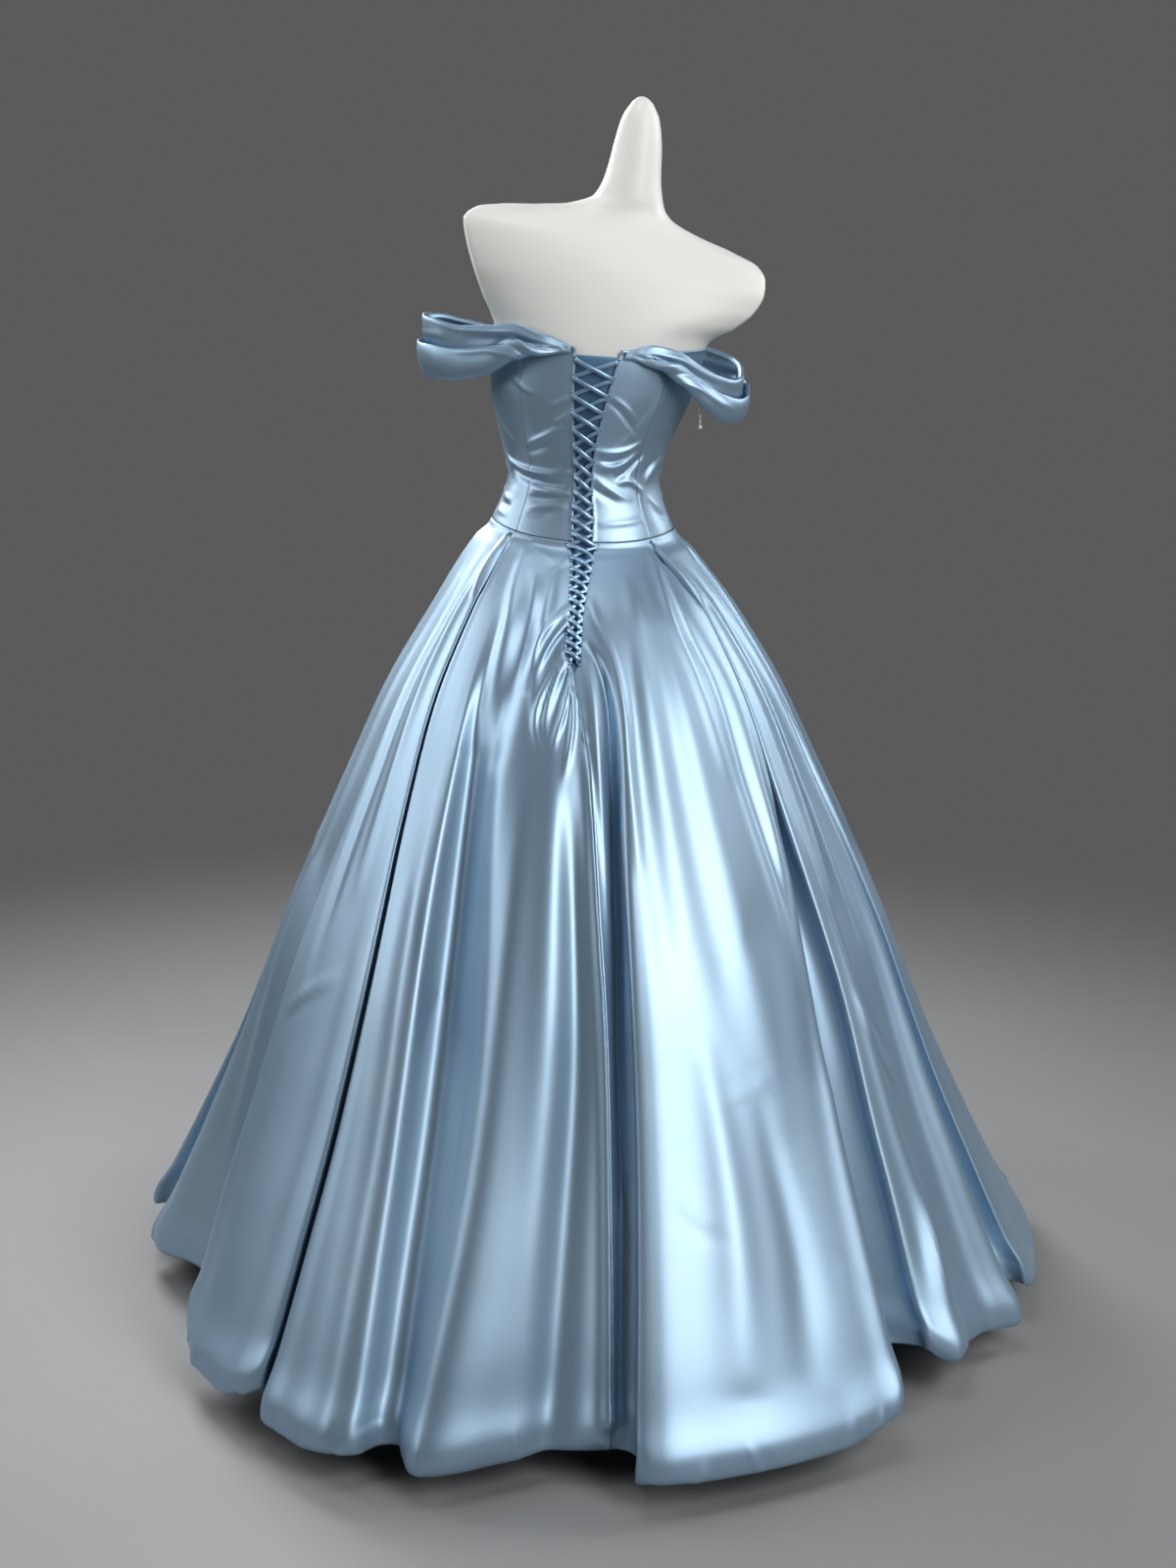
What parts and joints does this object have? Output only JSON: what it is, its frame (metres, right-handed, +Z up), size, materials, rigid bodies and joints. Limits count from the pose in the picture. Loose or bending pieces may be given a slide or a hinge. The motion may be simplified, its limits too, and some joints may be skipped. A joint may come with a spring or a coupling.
{
  "type": "ball gown on a limbless dress form",
  "caption": "Off-shoulder satin ball gown with a laced back and a full pleated skirt, on a limbless dress form with a round steel base.",
  "frame": {"origin": "middle of the stand's underside, on the floor", "axes": "+Z up, the gown faces -Y, its laced back faces +Y, and the wearer's right is -X"},
  "size_m": [1.3584, 1.3579, 1.695],
  "materials": {
    "satin": "powder-blue duchess satin, soft gloss",
    "lace_satin": "powder-blue satin rouleau",
    "form_shell": "smooth white shell, soft gloss",
    "stand_steel": "satin"
  },
  "bodies": {
    "root": {"dress_form": "form_shell", "stand_base": "stand_steel", "stand_pole": "stand_steel", "bodice_back_right": "satin", "bodice_side_back_right": "satin", "bodice_side_front_right": "satin", "bodice_front": "satin", "bodice_side_front_left": "satin", "bodice_side_back_left": "satin", "bodice_back_left": "satin", "modesty_panel": "satin", "skirt_back_right": "satin", "skirt_side_right": "satin", "skirt_front": "satin", "skirt_side_left": "satin", "skirt_back_left": "satin", "sleeve_left": "satin", "sleeve_right": "satin", "lace_from_left": "lace_satin", "lace_from_right": "lace_satin"}
  },
  "joints": []
}
